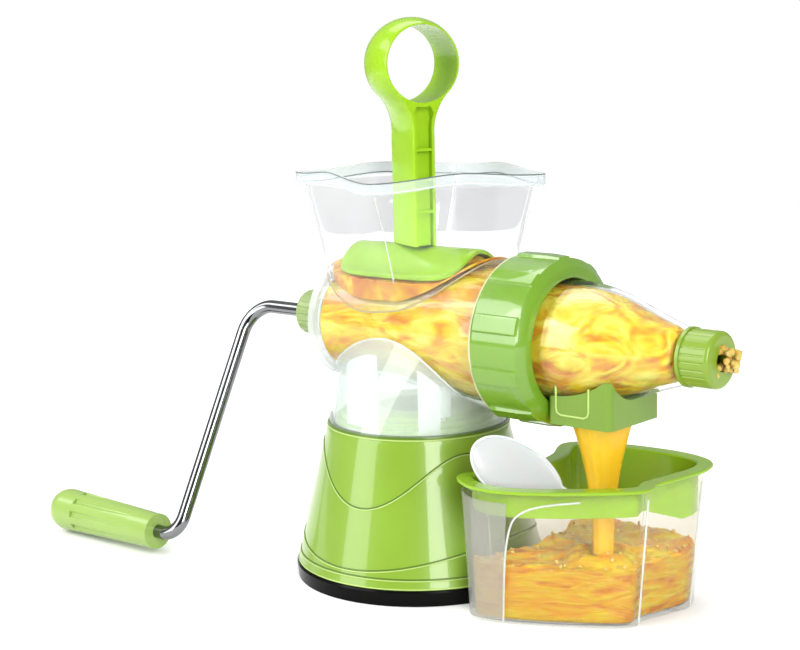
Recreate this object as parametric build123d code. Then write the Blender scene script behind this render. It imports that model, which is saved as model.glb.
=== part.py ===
from build123d import *
import os
from math import cos, hypot, pi, radians, sin

# A hand-cranked, single-auger juice press.
# Frame: origin at the middle of the suction base, on the surface it stands on.
# +X runs along the barrel from the crank to the pulp outlet, +Z is up. Millimetres.

# ---- driving dimensions ----
BASE_R = 61.2            # suction cup's standing radius
AXIS_Z = 123.7           # height of the barrel's axis
SHELL_TOP_Z = 76.3       # seam between the green base and the clear neck
SHELL_TOP_R = 44.6       # radius of that seam
RIM_Z = 199.7            # top of the feed hopper
HOPPER_HALF = 45.8       # half side of the hopper's square rim
HOPPER_TURN = -24.8      # the square hopper is turned about Z by this much
RING_Z = 250.0           # centre of the pusher's finger ring
RING_R = 22.0            # outer radius of that ring
HANDLE_HALF_DEPTH = 13.0 # half of the pusher handle's depth
STEM_WIDTH = 12.5        # width of the pusher's stem
CRANK_THROW = 128.7      # crank radius
CRANK_REST = 29.8        # crank's rest angle, from straight down towards -Y
CUP_RIM_Z = 62.0         # top of the clear cup's wall
WALL = 2.4               # moulded wall thickness
RUN_GAP = 0.06           # radial clearance of a turning fit
FREE_GAP = 0.4           # clearance between pieces that only pass each other

# ---- base ----
BAND_TOP = 7.4
BAND_TOP_R = 61.9
SHELL_FOOT_R = 60.9
DECK_Z = 70.3            # underside of the shell's top
DECK_TOP_Z = 72.7
PLATE_Z = 11.4
PLATE_R = 56.0
PLATE_T = 2.6
SCREW_RING_R = 46.5
LEVER_Z = 26.0
LEVER_SHAFT_R = 4.0
CAM_OFFSET = 2.2
CAM_PIN_R = 2.5
PLUNGER_R = 7.0

# ---- barrel, along X ----
REAR_X = -46.5
BARREL_END_X = 75.4
COLLAR_X0 = 63.2
COLLAR_X1 = 92.0
COLLAR_R = 38.4
SPIGOT_R = 34.9
SHAFT_R = 5.0
BUSH_R = 8.0
AUGER_R = 23.2
AUGER_CORE_R = 12.0
AUGER_PITCH = 28.0
AUGER_X = -38.5
AUGER_NOSE_X = 101.0
CONE_X0 = 77.4
NOSE_X = 154.3
NOSE_END_X = 165.3
NOSE_R = 10.2
CAP_X0 = 155.0
CAP_X1 = 171.0
CAP_R = 12.7
SPOUT_X0 = 93.0
SPOUT_X1 = 127.0
SPOUT_HALF_Y = 20.0
SPOUT_Z = 90.0

# ---- neck: a round foot that grows into an oval under the barrel ----
NECK_TOP_X = 10.0        # the neck leans forward: middle of its top oval
NECK_TOP_A = 52.0
NECK_TOP_B = 30.5
NECK_TOP_Z = 117.5

# ---- feed hopper ----
HOPPER_X = 2.4
HOPPER_LOW_Z = 131.0
HOPPER_WALL_TOP = 195.0
HOPPER_TOP_HALF = 42.8
THROAT_A = 48.0
THROAT_B = 27.5

# ---- crank ----
ROD_R = 3.5
HUB_X0 = -72.0
HUB_X1 = -50.5
HUB_R = 11.4
ARM_TOP_X = -114.5
ARM_LOW_X = -109.5
GRIP_X0 = -124.5
GRIP_LENGTH = 82.5
GRIP_R_ROD_END = 9.2
GRIP_R_FREE_END = 11.2

# ---- cup outline, as (x, y) round the floor and round the rim ----
CUP_FLOOR = [(63.5, -36), (70.5, -45), (87.5, -41), (111.5, -29), (132.5, -14), (132.5, -2), (136.5, 14),
             (138.5, 27), (132.5, 40), (115.5, 50), (93.5, 52), (73.5, 49), (64.5, 40), (70.5, 20),
             (72.8, 0), (70.5, -20)]
CUP_RIM = [(57.5, -36), (73.5, -48), (93.5, -45), (117.5, -29), (136.5, -11), (135, 2), (137.5, 20),
           (138.5, 38), (132.5, 51), (115.5, 57), (91.5, 56), (71.5, 51), (60.5, 41), (69, 20),
           (71.5, 0), (69, -20)]

# ---- scoop: its upper tip, the way it points down into the cup, and the way it faces ----
SCOOP_TIP = (72.0, -33.6, 87.6)
SCOOP_AXIS = (0.520, 0.270, -0.810)
SCOOP_FACE = (0.6465, -0.7444, 0.1669)

barrel_axis = Axis((0, 0, AXIS_Z), (1, 0, 0))
grip_y = -CRANK_THROW * sin(radians(CRANK_REST))
grip_z = AXIS_Z - CRANK_THROW * cos(radians(CRANK_REST))


# ---- helpers ----
def rod_x(x0, x1, radius, y=0.0, z=AXIS_Z):
    """A cylinder along X, from x0 to x1."""
    low = (Align.CENTER, Align.CENTER, Align.MIN)
    return Pos(x0, y, z) * Rot(0, 90, 0) * Cylinder(radius, x1 - x0, align=low)


def rod_y(y0, y1, radius, x=0.0, z=0.0):
    """A cylinder along Y, from y0 to y1."""
    low = (Align.CENTER, Align.CENTER, Align.MIN)
    return Pos(x, y0, z) * Rot(-90, 0, 0) * Cylinder(radius, y1 - y0, align=low)


def rod_z(z0, z1, radius, x=0.0, y=0.0):
    """A cylinder along Z, from z0 to z1."""
    low = (Align.CENTER, Align.CENTER, Align.MIN)
    return Pos(x, y, z0) * Cylinder(radius, z1 - z0, align=low)


def block(x0, x1, y0, y1, z0, z1):
    """A box between two corners."""
    return Pos((x0 + x1) / 2, (y0 + y1) / 2, (z0 + z1) / 2) * Box(x1 - x0, y1 - y0, z1 - z0)


def turned_x(points):
    """A solid turned about the barrel's axis from (x, radius) corners."""
    corners = [(x, 0, AXIS_Z + r) for x, r in points]
    return revolve(Face(Wire.make_polygon(corners, close=True)), barrel_axis)


def turned_z(points):
    """A solid turned about Z from (radius, z) corners."""
    corners = [(r, 0, z) for r, z in points]
    return revolve(Face(Wire.make_polygon(corners, close=True)), Axis.Z)


def smooth_turned_x(curve_points, extra=0.0):
    """A solid of revolution whose side is a smooth curve through (x, radius) points."""
    side = Spline([(x, 0, AXIS_Z + r + extra) for x, r in curve_points])
    first, last = side @ 0, side @ 1
    floor_a = Vector(first.X, 0, AXIS_Z)
    floor_b = Vector(last.X, 0, AXIS_Z)
    outline = Wire([side, Line(last, floor_b), Line(floor_b, floor_a), Line(floor_a, first)])
    return revolve(Face(outline), barrel_axis)


def ring_face(points, z):
    """A face at height z inside a smooth closed curve through (x, y) points."""
    curve = Spline([(x, y, z) for x, y in points], periodic=True)
    return Face(Wire([curve]))


def superellipse(angle, half_x, half_y, power):
    """Distance from the centre to a superellipse, in the direction of angle."""
    wide = abs(cos(angle) / half_x) ** power
    deep = abs(sin(angle) / half_y) ** power
    return (wide + deep) ** (-1 / power)


def moved_in(points, distance):
    """A closed outline, moved inwards by a distance at each point."""
    result = []
    for i, (x, y) in enumerate(points):
        before = points[i - 1]
        after = points[(i + 1) % len(points)]
        along = (after[0] - before[0], after[1] - before[1])
        share = distance / hypot(*along)
        result.append((x - along[1] * share, y + along[0] * share))
    return result


def polar(count, radius, start=0.0):
    """Points evenly round a circle."""
    steps = [radians(start + 360 * i / count) for i in range(count)]
    return [(radius * cos(a), radius * sin(a)) for a in steps]


# ---- base ----
def shell_radius(z):
    """Outer radius of the base shell at height z."""
    share = (z - BAND_TOP) / (SHELL_TOP_Z - BAND_TOP)
    return SHELL_FOOT_R + (SHELL_TOP_R - SHELL_FOOT_R) * share


def make_suction_cup():
    """Rubber cup: standing ring, shallow hollow, middle pad and a socket for the plunger."""
    return turned_z([(0, 0), (12, 0), (14, 1.6), (49, 1.6), (52, 0), (BASE_R, 0), (BAND_TOP_R, 6.6),
                     (BAND_TOP_R - 0.5, BAND_TOP), (50, BAND_TOP), (48.5, 4.4), (15, 4.4), (14, 7.6),
                     (10.4, 7.6), (10.4, 3.5), (0, 3.5)])


def make_base_plate():
    """Floor of the base, with the plunger's guide and the lever shaft's bearing."""
    top = PLATE_Z + PLATE_T
    plate = rod_z(PLATE_Z, top, PLATE_R)
    plate += rod_z(BAND_TOP, top, PLATE_R) - rod_z(BAND_TOP - 1, top + 1, PLATE_R - 5)
    plate += block(-9, 9, 13, 19, top - 0.5, LEVER_Z + 8)
    plate -= rod_z(0, top + 6, PLUNGER_R + RUN_GAP)
    plate -= rod_y(12, 20, LEVER_SHAFT_R + RUN_GAP, 0, LEVER_Z)
    for x, y in polar(4, SCREW_RING_R, 45):
        plate -= rod_z(PLATE_Z - 1, top + 1, 1.9, x, y)
    return plate


def make_base_shell():
    """Green cone with screw posts, a bearing for the lever shaft and a recessed top."""
    solid_cone = turned_z([(0, BAND_TOP), (SHELL_FOOT_R, BAND_TOP), (SHELL_TOP_R, SHELL_TOP_Z),
                           (0, SHELL_TOP_Z)])
    low_r = SHELL_FOOT_R - WALL
    shell = solid_cone - turned_z([(0, BAND_TOP - 1), (low_r + 0.24, BAND_TOP - 1),
                                   (shell_radius(DECK_Z) - WALL, DECK_Z), (0, DECK_Z)])
    shell -= rod_z(DECK_TOP_Z, SHELL_TOP_Z + 1, SHELL_TOP_R - 3.2)
    shell -= rod_z(DECK_Z - 1, DECK_TOP_Z + 1, 22)
    post_foot = PLATE_Z + PLATE_T
    for angle in (45, 135, 225, 315):
        post = block(SCREW_RING_R - 5, SHELL_FOOT_R, -4.5, 4.5, post_foot, post_foot + 18)
        shell += (Rot(0, 0, angle) * post) & solid_cone
    shell += rod_y(46, shell_radius(LEVER_Z) - 1, 8, 0, LEVER_Z) & solid_cone
    shell -= rod_y(40, 70, LEVER_SHAFT_R + RUN_GAP, 0, LEVER_Z)
    for x, y in polar(4, SCREW_RING_R, 45):
        shell -= rod_z(post_foot - 1, post_foot + 14, 1.55, x, y)
    for x, y in polar(3, 34, 90):
        shell -= rod_z(DECK_Z - 1, DECK_TOP_Z + 1, 1.9, x, y)
    return shell


def make_base_screws():
    """Four screws up through the base plate."""
    screws = []
    for x, y in polar(4, SCREW_RING_R, 45):
        head = rod_z(PLATE_Z - 2.2, PLATE_Z, 3.4, x, y)
        cross = block(x - 2, x + 2, y - 0.5, y + 0.5, PLATE_Z - 3, PLATE_Z - 1.2)
        cross += block(x - 0.5, x + 0.5, y - 2, y + 2, PLATE_Z - 3, PLATE_Z - 1.2)
        screws.append((head - cross) + rod_z(PLATE_Z - 0.5, PLATE_Z + 15, 1.5, x, y))
    return Compound(screws)


def make_suction_plunger():
    """Foot in the cup's socket, guided stem and a slotted yoke round the cam pin."""
    plunger = rod_z(3.7, 8.0, 10.0) + rod_z(8.0, 15.6, PLUNGER_R)
    plunger += block(-6.4, 9, -5, 5, 15.2, 33.0)
    pin_z = LEVER_Z - CAM_OFFSET * sin(radians(45))
    slot_half = CAM_PIN_R + 0.25
    plunger -= block(-2.5, 6.5, -6, 6, pin_z - slot_half, pin_z + slot_half)
    return plunger


def make_lever_shaft():
    """Shaft of the suction lever, with a cam pin at its inner end."""
    pin_x = CAM_OFFSET * cos(radians(45))
    pin_z = LEVER_Z - CAM_OFFSET * sin(radians(45))
    shaft = rod_y(5.6, 12.6, 7.0, 0, LEVER_Z)
    shaft += rod_y(12.0, 63.0, LEVER_SHAFT_R, 0, LEVER_Z)
    return shaft + rod_y(-4.6, 6.0, CAM_PIN_R, pin_x, pin_z)


def make_suction_lever():
    """Thumb lever on the outside of the base, upright when released."""
    boss_y = shell_radius(LEVER_Z - 8) + 0.8
    lever = rod_y(boss_y, boss_y + 7, 9, 0, LEVER_Z)
    lever += block(-6, 6, boss_y, boss_y + 5.5, LEVER_Z, LEVER_Z + 34)
    lever += rod_y(boss_y, boss_y + 5.5, 8, 0, LEVER_Z + 34)
    lever -= rod_y(boss_y - 1, 63.0, LEVER_SHAFT_R, 0, LEVER_Z)
    return fillet(lever.edges().group_by(Axis.Y)[-1], 1.2)


# ---- clear body ----
BARREL_CURVE = [(REAR_X, 27.6), (-12, 28.5), (26, 31.5), (45, 34.0), (62.8, 36.9)]
BORE_CURVE = [(REAR_X + 5, 25.3), (-12, 26.0), (26, 28.9), (45, 31.2), (BARREL_END_X + 1, 31.6)]


def make_barrel_solid(extra=0.0):
    """The barrel's outer form, without its bore."""
    barrel = smooth_turned_x(BARREL_CURVE, extra)
    barrel += turned_x([(REAR_X, 0), (REAR_X, 28.4 + extra), (REAR_X + 0.8, 29.2 + extra),
                        (REAR_X + 3.4, 29.2 + extra), (REAR_X + 4.2, 28.4 + extra),
                        (REAR_X + 4.2, 0)])
    return barrel + rod_x(60, BARREL_END_X, SPIGOT_R + extra)


def neck_section(z, inset):
    """Outline of the neck at height z, moved in by a distance."""
    share = (z - SHELL_TOP_Z) / (NECK_TOP_Z - SHELL_TOP_Z)
    lean = share * (3 + 7 * share) / 10
    foot = SHELL_TOP_R - 0.6
    half_x = foot + (NECK_TOP_A - foot) * share - inset
    half_y = foot + (NECK_TOP_B - foot) * share - inset
    return Pos(NECK_TOP_X * lean, 0, z) * Ellipse(max(half_x, half_y + 0.01), half_y)


def make_barrel_body():
    """Clear moulding: the neck that stands on the base and the barrel across its top."""
    foot_z = SHELL_TOP_Z + 0.8
    neck = loft([neck_section(foot_z, 0), neck_section(98, 0), neck_section(NECK_TOP_Z, 0)])
    hollow = loft([neck_section(foot_z - 0.4, WALL), neck_section(98, WALL),
                   neck_section(NECK_TOP_Z - WALL, WALL + 0.6)])
    body = neck - hollow
    for x, y in polar(3, 34, 90):
        body += rod_z(DECK_TOP_Z, 106, 4.2, x, y) & (neck + rod_z(DECK_TOP_Z, foot_z, SHELL_TOP_R - 3.6))
        body -= rod_z(DECK_Z, 89, 1.55, x, y)
    body += make_barrel_solid()
    body -= smooth_turned_x(BORE_CURVE)
    body -= rod_x(REAR_X - 1, REAR_X + 6, BUSH_R)
    body -= make_collar_gasket()
    throat = Pos(0, 0, AXIS_Z) * extrude(RectangleRounded(62, 38, 12), 60)
    return body - throat


def make_neck_gasket():
    """Thin lip between the green base and the clear neck."""
    return turned_z([(41.5, SHELL_TOP_Z), (SHELL_TOP_R + 0.2, SHELL_TOP_Z),
                     (SHELL_TOP_R, SHELL_TOP_Z + 0.8), (41.5, SHELL_TOP_Z + 0.8)])


def make_neck_screws():
    """Three screws that hold the neck to the base shell."""
    screws = []
    for x, y in polar(3, 34, 90):
        screws.append(rod_z(DECK_Z - 2.6, DECK_Z, 3.6, x, y) + rod_z(DECK_Z - 0.5, 85, 1.5, x, y))
    return Compound(screws)


def hopper_section(z, inset):
    """Hopper outline: an oval over the barrel that grows into a turned square."""
    height = max(0.0, (z - HOPPER_LOW_Z) / (HOPPER_WALL_TOP - HOPPER_LOW_Z))
    square_share = height ** 1.3
    turn = radians(HOPPER_TURN)
    points = []
    for i in range(48):
        angle = 2 * pi * i / 48
        oval = superellipse(angle, THROAT_A, THROAT_B, 2.6)
        square = superellipse(angle - turn, HOPPER_TOP_HALF, HOPPER_TOP_HALF, 9)
        reach = oval + (square - oval) * square_share - inset
        points.append((HOPPER_X + reach * cos(angle), reach * sin(angle)))
    return ring_face(points, z)


def make_feed_hopper():
    """Clear square funnel, shaped to sit over the barrel, with a rim flange."""
    heights = [HOPPER_LOW_Z, 150, 172, HOPPER_WALL_TOP]
    outer = loft([hopper_section(z, 0) for z in heights])
    inner = loft([hopper_section(z, 2.2) for z in heights])
    flange = RectangleRounded(2 * HOPPER_HALF, 2 * HOPPER_HALF, 5)
    flange -= RectangleRounded(2 * HOPPER_TOP_HALF - 4.4, 2 * HOPPER_TOP_HALF - 4.4, 7)
    rim = Pos(HOPPER_X, 0, HOPPER_WALL_TOP - 1.2) * Rot(0, 0, HOPPER_TURN)
    rim *= extrude(flange, RIM_Z - HOPPER_WALL_TOP + 1.2)
    seat = smooth_turned_x(BARREL_CURVE, 0.1) + rod_x(REAR_X - 12, REAR_X + 4.2, 29.3)
    hopper = (outer - inner) - seat
    pieces = sorted(hopper.solids(), key=lambda s: s.volume)
    return pieces[-1] + rim


# ---- drive ----
def make_rear_bushing():
    """Flanged sleeve that carries the drive shaft through the barrel's end wall."""
    sleeve = rod_x(REAR_X - 3, REAR_X, 15.5) + rod_x(REAR_X - 0.5, REAR_X + 5, BUSH_R)
    return sleeve - rod_x(REAR_X - 4, REAR_X + 6, SHAFT_R + RUN_GAP)


def make_rear_seal():
    """Rubber ring between the end wall and the auger."""
    ring = rod_x(REAR_X + 5, REAR_X + 7.4, 11.0)
    return ring - rod_x(REAR_X + 4, REAR_X + 8, SHAFT_R + FREE_GAP)


def make_drive_shaft():
    """Steel shaft from the crank hub into the auger."""
    return rod_x(-60, -30, SHAFT_R)


def make_auger():
    """Screw that carries the fruit forward and crushes it into the tapering nose."""
    disc_t = 3.0
    flight_x = AUGER_X + disc_t
    blade = [(AUGER_R * cos(radians(a)), AUGER_R * sin(radians(a))) for a in (-24, -12, 0, 12, 24)]
    section = Circle(AUGER_CORE_R) + Polygon([(0, 0)] + blade, align=None)
    length = AUGER_NOSE_X - flight_x
    twist = 360 * length / AUGER_PITCH
    screw = Solid.extrude_linear_with_rotation(section.face(), (0, 0, 0), (0, 0, length), twist)
    auger = rod_x(AUGER_X, flight_x, AUGER_R + 0.3)
    auger += Pos(flight_x, 0, AXIS_Z) * Rot(0, 90, 0) * screw
    nose_r = AUGER_R + 0.2
    auger += turned_x([(AUGER_NOSE_X, 0), (AUGER_NOSE_X, nose_r), (AUGER_NOSE_X + 2, nose_r),
                       (AUGER_NOSE_X + 4, 19.0), (145, 6.0), (147, 3.0), (147, 0)])
    return auger - rod_x(AUGER_X - 1, -30, SHAFT_R)


def make_crank_hub():
    """Ribbed knob that joins the crank rod to the drive shaft."""
    hub = rod_x(HUB_X0, HUB_X1, HUB_R)
    hub = fillet(hub.edges().sort_by(Axis.X)[0], 1.5)
    for y, z in polar(20, HUB_R + 0.4):
        hub -= rod_x(HUB_X0 - 1, HUB_X1 - 3, 0.9, y, AXIS_Z + z)
    hub -= rod_x(HUB_X0 - 1, -60, ROD_R)
    return hub - rod_x(-60, HUB_X1 + 1, SHAFT_R)


def make_crank_rod():
    """Bent steel rod: along the axis, out along the arm, and back along the grip."""
    route = [(-60, 0, AXIS_Z), (ARM_TOP_X, 0, AXIS_Z), (ARM_LOW_X, grip_y, grip_z),
             (GRIP_X0 - GRIP_LENGTH + 16, grip_y, grip_z)]
    path = FilletPolyline(route, radius=[15, 10])
    section = Plane(path @ 0, z_dir=path % 0) * Circle(ROD_R)
    return sweep(section, path=path)


def make_crank_grip():
    """Tapered grip with a domed free end and flutes, free to turn on the rod."""
    x_free = GRIP_X0 - GRIP_LENGTH
    dome_x = x_free + GRIP_R_FREE_END
    side = Line((GRIP_X0, GRIP_R_ROD_END), (dome_x, GRIP_R_FREE_END))
    dome = ThreePointArc((dome_x, GRIP_R_FREE_END),
                         (dome_x - GRIP_R_FREE_END * sin(pi / 4), GRIP_R_FREE_END * cos(pi / 4)),
                         (x_free, 0))
    ends = Line((x_free, 0), (GRIP_X0, 0)) + Line((GRIP_X0, 0), (GRIP_X0, GRIP_R_ROD_END))
    outline = make_face(side + dome + ends)
    grip = revolve(outline, Axis.X)
    for y, z in polar(9, GRIP_R_FREE_END + 0.4, 10):
        grip -= rod_x(dome_x + 12, GRIP_X0 - 5, 2.0, y, z)
    grip = Pos(0, grip_y, grip_z) * grip
    bore_end = x_free + 15
    return grip - rod_x(bore_end, GRIP_X0 + 1, ROD_R + RUN_GAP, grip_y, grip_z)


# ---- front end ----
CONE_CURVE = [(CONE_X0, 28.6), (90, 28.7), (103, 28.3), (116, 25.8), (128, 21.6), (141, 16.9),
              (NOSE_X, 12.4)]


def make_strainer_screen():
    """Perforated sleeve and cone round the auger's end, with a clamping flange."""
    flange_r = SPIGOT_R - 0.4
    screen = turned_x([(BARREL_END_X, 24.4), (BARREL_END_X, flange_r), (CONE_X0, flange_r),
                       (CONE_X0, 25.6), (104, 25.2), (116, 22.6), (128, 18.5), (141, 13.8),
                       (149, 10.6), (149, 9.4), (141, 12.6), (128, 17.3), (115.6, 21.4),
                       (103.4, 24.1)])
    holes = []
    for row in range(5):
        for step in range(20):
            hole = Pos(81 + 5 * row, 0, AXIS_Z) * Rot(18 * step + 9 * (row % 2), 0, 0)
            holes.append(hole * rod_z(22, 28, 1.0))
    return screen - holes


def make_front_cone():
    """Clear nose over the strainer, with a flange for the collar and a drain hole."""
    cone = smooth_turned_x(CONE_CURVE) + rod_x(CONE_X0, CONE_X0 + 2.8, SPIGOT_R)
    cone += rod_x(NOSE_X - 1, NOSE_END_X, NOSE_R)
    inner = [(x, r - 2.3) for x, r in CONE_CURVE[:-1]] + [(NOSE_X + 0.5, 10.2 - 2.6)]
    inner[0] = (CONE_X0 - 1, 26.4)
    cone -= smooth_turned_x(inner)
    cone -= rod_x(NOSE_X - 2, NOSE_END_X + 1, 7.4)
    return cone - block(99, 117, -8, 8, AXIS_Z - 40, AXIS_Z - 15)


def make_juice_spout():
    """Green chute under the nose, open below."""
    chute = block(SPOUT_X0, SPOUT_X1, -SPOUT_HALF_Y, SPOUT_HALF_Y, SPOUT_Z, AXIS_Z - 12)
    chute = fillet(chute.edges().filter_by(Axis.Z), 3)
    chute -= block(SPOUT_X0 + WALL, SPOUT_X1 - WALL, WALL - SPOUT_HALF_Y, SPOUT_HALF_Y - WALL,
                   SPOUT_Z - 1, AXIS_Z - 10)
    chute -= smooth_turned_x(CONE_CURVE, 0.1)
    pieces = sorted(chute.solids(), key=lambda s: s.volume)
    return pieces[-1]


def make_collar_gasket():
    """Rubber ring in the collar joint, round the spigot's mouth."""
    ring = rod_x(BARREL_END_X - 1.6, BARREL_END_X, 34.2)
    return ring - rod_x(BARREL_END_X - 2, BARREL_END_X + 1, 32.5)


def make_locking_collar():
    """Ring nut with raised grip ribs that clamps the nose to the barrel."""
    collar = turned_x([(COLLAR_X0, 0), (COLLAR_X0, COLLAR_R - 1), (COLLAR_X0 + 1, COLLAR_R),
                       (COLLAR_X1 - 4, COLLAR_R), (COLLAR_X1, COLLAR_R - 5), (COLLAR_X1, 0)])
    for i in range(10):
        rib = block(COLLAR_X0 + 2, COLLAR_X1 - 3.5, -4, 4, COLLAR_R - 3, COLLAR_R + 1.4)
        rib = fillet(rib.edges().group_by(Axis.Z)[-1], 1.0)
        collar += Pos(0, 0, AXIS_Z) * Rot(36 * i + 18, 0, 0) * rib
    collar -= rod_x(COLLAR_X0 - 1, CONE_X0 + 3.3, SPIGOT_R + FREE_GAP)
    return collar - rod_x(CONE_X0, COLLAR_X1 + 1, 29.3)


def make_outlet_cap():
    """Fluted screw cap with a hole for the spent pulp."""
    cap = rod_x(CAP_X0, CAP_X1, CAP_R)
    cap = fillet(cap.edges().sort_by(Axis.X)[-1], 2.2)
    cap += rod_x(CAP_X0, CAP_X0 + 1.6, CAP_R + 0.6)
    for y, z in polar(24, CAP_R + 0.5):
        cap -= rod_x(CAP_X0 + 2.2, CAP_X1 - 2.6, 0.8, y, AXIS_Z + z)
    cap -= rod_x(CAP_X0 - 1, NOSE_END_X + 1.7, NOSE_R + 0.35)
    return cap - rod_x(CAP_X0, CAP_X1 + 1, 5.0)


def make_outlet_seal():
    """Rubber washer inside the outlet cap."""
    x0 = NOSE_END_X + 0.15
    return rod_x(x0, x0 + 1.4, NOSE_R + 0.1) - rod_x(x0 - 1, x0 + 2, 7.6)


# ---- pusher ----
def make_pusher_handle():
    """Finger ring on a flat stem, flared where the two meet, with ribbed pockets in the stem's edges."""
    stem_low = 163.0 - RING_Z
    outline = Circle(RING_R) + Pos(0, (stem_low - 10) / 2) * Rectangle(STEM_WIDTH, -stem_low - 10)
    corners = [v for v in outline.vertices() if -RING_R < v.Y < -10]
    outline = fillet(corners, 24)
    outline -= Circle(RING_R - 3.6)
    handle = extrude(Plane.YZ * outline, HANDLE_HALF_DEPTH, both=True)
    rim_edges = handle.edges().filter_by(GeomType.CIRCLE)
    handle = fillet([e for e in rim_edges if e.radius > 20], 1.6)
    for z in range(4):
        low_z = stem_low + 3 + 15 * z
        pocket = block(HANDLE_HALF_DEPTH - 3.5, HANDLE_HALF_DEPTH + 1, -4.2, 4.2, low_z, low_z + 13.4)
        handle -= pocket
        handle -= Rot(0, 0, 180) * pocket
    return Pos(0, 0, RING_Z) * Rot(0, 0, HOPPER_TURN) * handle


def make_pusher_plate():
    """Saddle plate under the stem: an oval that fits the throat, arched across the barrel."""
    half_x = 38.0
    half_y = 25.6
    low_z = 149.8
    rise = 11.2
    steps = [-1, -0.75, -0.5, -0.25, 0, 0.25, 0.5, 0.75, 1]
    top = [(half_y * s, low_z + 2.0 + rise * (1 + cos(pi * s)) / 2) for s in steps]
    under = [(y, z - 2.4) for y, z in reversed(top)]
    edge_top = Spline(top)
    edge_under = Spline(under)
    joins = Line(top[-1], under[0]) + Line(under[-1], top[0])
    section = make_face(edge_top + edge_under + joins)
    saddle = Pos(HOPPER_X, 0, 0) * extrude(Plane.YZ * section, half_x + 1, both=True)
    oval = []
    for i in range(40):
        angle = 2 * pi * i / 40
        reach = superellipse(angle, half_x, half_y + 0.1, 3.4)
        oval.append((HOPPER_X + reach * cos(angle), reach * sin(angle)))
    return saddle & extrude(ring_face(oval, low_z - 10), 40)


# ---- cup ----
def make_cup_body():
    """Clear jug with a concave side that hugs the base."""
    outer = loft([ring_face(CUP_FLOOR, 0), ring_face(CUP_RIM, CUP_RIM_Z)])
    inner = loft([ring_face(moved_in(CUP_FLOOR, 2.2), 2.4),
                  ring_face(moved_in(CUP_RIM, 2.2), CUP_RIM_Z + 0.1)])
    return outer - inner


def make_cup_insert():
    """Green rim that drops into the cup: a flange and a band."""
    lip = extrude(ring_face(moved_in(CUP_RIM, -2.6), CUP_RIM_Z + 0.2), 2.2)
    band = extrude(ring_face(moved_in(CUP_RIM, 5.0), CUP_RIM_Z - 12), 14)
    opening = extrude(ring_face(moved_in(CUP_RIM, 6.8), CUP_RIM_Z - 13), 18)
    return (lip + band) - opening


def make_scoop():
    """Leaf-shaped paddle that leans in the cup, its broad end up."""
    length = 60.0
    leaf = Pos(length * 0.46, 0) * Ellipse(length * 0.46, 15.5)
    leaf += Pos(length * 0.78, 0) * RectangleRounded(length * 0.44, 13, 5)
    blade = extrude(leaf, 0.9, both=True)
    return Plane(SCOOP_TIP, x_dir=SCOOP_AXIS, z_dir=SCOOP_FACE) * blade


makers = {
    "suction_cup": make_suction_cup,
    "base_plate": make_base_plate,
    "base_shell": make_base_shell,
    "base_screws": make_base_screws,
    "suction_plunger": make_suction_plunger,
    "lever_shaft": make_lever_shaft,
    "suction_lever": make_suction_lever,
    "neck_gasket": make_neck_gasket,
    "barrel_body": make_barrel_body,
    "neck_screws": make_neck_screws,
    "feed_hopper": make_feed_hopper,
    "rear_bushing": make_rear_bushing,
    "rear_seal": make_rear_seal,
    "drive_shaft": make_drive_shaft,
    "auger": make_auger,
    "crank_hub": make_crank_hub,
    "crank_rod": make_crank_rod,
    "crank_grip": make_crank_grip,
    "strainer_screen": make_strainer_screen,
    "collar_gasket": make_collar_gasket,
    "front_cone": make_front_cone,
    "juice_spout": make_juice_spout,
    "locking_collar": make_locking_collar,
    "outlet_cap": make_outlet_cap,
    "outlet_seal": make_outlet_seal,
    "pusher_handle": make_pusher_handle,
    "pusher_plate": make_pusher_plate,
    "cup_body": make_cup_body,
    "cup_insert": make_cup_insert,
    "scoop": make_scoop,
}

os.makedirs("parts", exist_ok=True)
for node, make in makers.items():
    export_step(make(), f"parts/{node}.step")
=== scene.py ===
from math import atan2, cos, hypot, pi, radians, sin, sqrt
from random import Random

import bmesh
import bpy
from mathutils import Matrix, Vector, noise


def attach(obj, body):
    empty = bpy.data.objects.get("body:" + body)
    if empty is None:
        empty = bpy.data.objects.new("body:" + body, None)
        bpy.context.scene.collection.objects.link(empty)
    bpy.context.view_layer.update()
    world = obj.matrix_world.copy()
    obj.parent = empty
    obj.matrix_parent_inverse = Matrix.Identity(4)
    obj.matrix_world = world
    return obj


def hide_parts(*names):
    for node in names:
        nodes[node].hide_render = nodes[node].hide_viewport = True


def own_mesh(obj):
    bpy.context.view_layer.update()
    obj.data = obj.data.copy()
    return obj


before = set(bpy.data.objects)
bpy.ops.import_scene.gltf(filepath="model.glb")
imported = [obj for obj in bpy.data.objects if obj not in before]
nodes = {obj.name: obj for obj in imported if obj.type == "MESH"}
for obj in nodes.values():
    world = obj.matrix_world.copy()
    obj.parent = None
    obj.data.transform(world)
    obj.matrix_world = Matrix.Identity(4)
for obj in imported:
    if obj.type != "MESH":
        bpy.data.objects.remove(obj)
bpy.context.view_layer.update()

MM = 0.001

# ---- dimensions in millimetres; a comment gives the CAD's value where it is known to differ ----
AXIS_Z = 123.7
REAR_X = -46.5
BARREL_END_X = 75.4
BARREL_CURVE = [(-46.5, 27.6), (-12, 28.5), (26, 31.5), (45, 34.0), (62.8, 36.9)]
BORE_CURVE = [(-41.5, 25.3), (-12, 26.0), (26, 28.9), (45, 31.2), (76.4, 31.6)]
CONE_CURVE = [(77.4, 28.6), (90, 28.7), (103, 28.3), (116, 25.8), (128, 21.6), (141, 16.9), (154.3, 12.4)]
SHELL_FOOT_Z = 7.4
SHELL_FOOT_R = 60.9
SHELL_TOP_Z = 76.3
SHELL_TOP_R = 44.6
NECK_FOOT_Z = 77.1
NECK_TOP_Z = 117.5
NECK_TOP_X = 10.0
NECK_TOP_A = 52.0
NECK_TOP_B = 30.5
HOPPER_X = 2.4
HOPPER_LOW_Z = 131.0
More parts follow.
